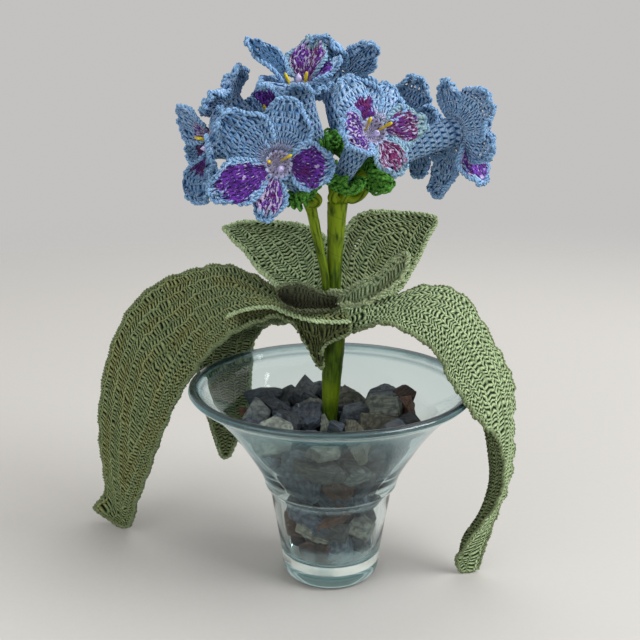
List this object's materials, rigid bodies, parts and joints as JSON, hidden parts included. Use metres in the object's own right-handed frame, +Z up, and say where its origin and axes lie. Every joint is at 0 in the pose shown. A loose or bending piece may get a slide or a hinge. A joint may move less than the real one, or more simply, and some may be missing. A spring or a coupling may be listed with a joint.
{
  "type": "crocheted cape primrose in a glass vase of slate chippings",
  "caption": "Crocheted cape primrose: trumpet blooms on taped stems above long strap leaves, standing in a flared clear glass vase filled with slate chippings.",
  "frame": {"origin": "centre of the vase's round underside, on the surface it stands on", "axes": "+Z up along the vase's axis; -Y is the front, towards the two front blooms; +X is to the right seen from the front"},
  "size_m": [0.2163, 0.1374, 0.2526],
  "materials": {
    "clear_glass": "clear pressed glass with an aqua tint at the lip",
    "slate": "dry split slate in blue-grey, grey-green and rust",
    "stem_tape": "green paper tape wound over wire",
    "leaf_cotton": "crocheted sage-green cotton over edge wire",
    "young_leaf_cotton": "crocheted olive and pale green cotton",
    "petal_cotton": "crocheted blue cotton with purple throats on the lower lobes",
    "calyx_cotton": "curly crocheted green cotton",
    "stamen_wire": "yellow coated wire",
    "pistil_bead": "pearly lilac bead"
  },
  "bodies": {
    "root": {"glass_vase": "clear_glass", "slate_chippings": "slate", "wrapped_stems": "stem_tape", "leaf_left": "leaf_cotton", "leaf_right": "leaf_cotton", "leaf_back_low": "leaf_cotton", "leaf_back_left": "leaf_cotton", "leaf_back_right": "leaf_cotton", "leaf_small_left": "young_leaf_cotton", "leaf_small_right": "young_leaf_cotton", "bloom_front_left": "petal_cotton", "bloom_front_right": "petal_cotton", "bloom_crown": "petal_cotton", "bloom_crown_back": "petal_cotton", "bloom_left_upper": "petal_cotton", "bloom_left_lower": "petal_cotton", "bloom_left_back": "petal_cotton", "bloom_right": "petal_cotton", "bloom_right_back": "petal_cotton", "bloom_right_lower": "petal_cotton", "calyx_front_left": "calyx_cotton", "calyx_front_right": "calyx_cotton", "calyx_crown": "calyx_cotton", "calyx_crown_back": "calyx_cotton", "calyx_left_upper": "calyx_cotton", "calyx_left_lower": "calyx_cotton", "calyx_left_back": "calyx_cotton", "calyx_right": "calyx_cotton", "calyx_right_back": "calyx_cotton", "calyx_right_lower": "calyx_cotton", "stamens_front_left": "stamen_wire", "stamens_front_right": "stamen_wire", "stamens_crown": "stamen_wire", "stamens_crown_back": "stamen_wire", "stamens_left_upper": "stamen_wire", "stamens_left_lower": "stamen_wire", "stamens_left_back": "stamen_wire", "stamens_right": "stamen_wire", "stamens_right_back": "stamen_wire", "stamens_right_lower": "stamen_wire", "pistil_front_left": "pistil_bead", "pistil_front_right": "pistil_bead", "pistil_crown": "pistil_bead", "pistil_crown_back": "pistil_bead", "pistil_left_upper": "pistil_bead", "pistil_left_lower": "pistil_bead", "pistil_left_back": "pistil_bead", "pistil_right": "pistil_bead", "pistil_right_back": "pistil_bead", "pistil_right_lower": "pistil_bead"}
  },
  "joints": []
}
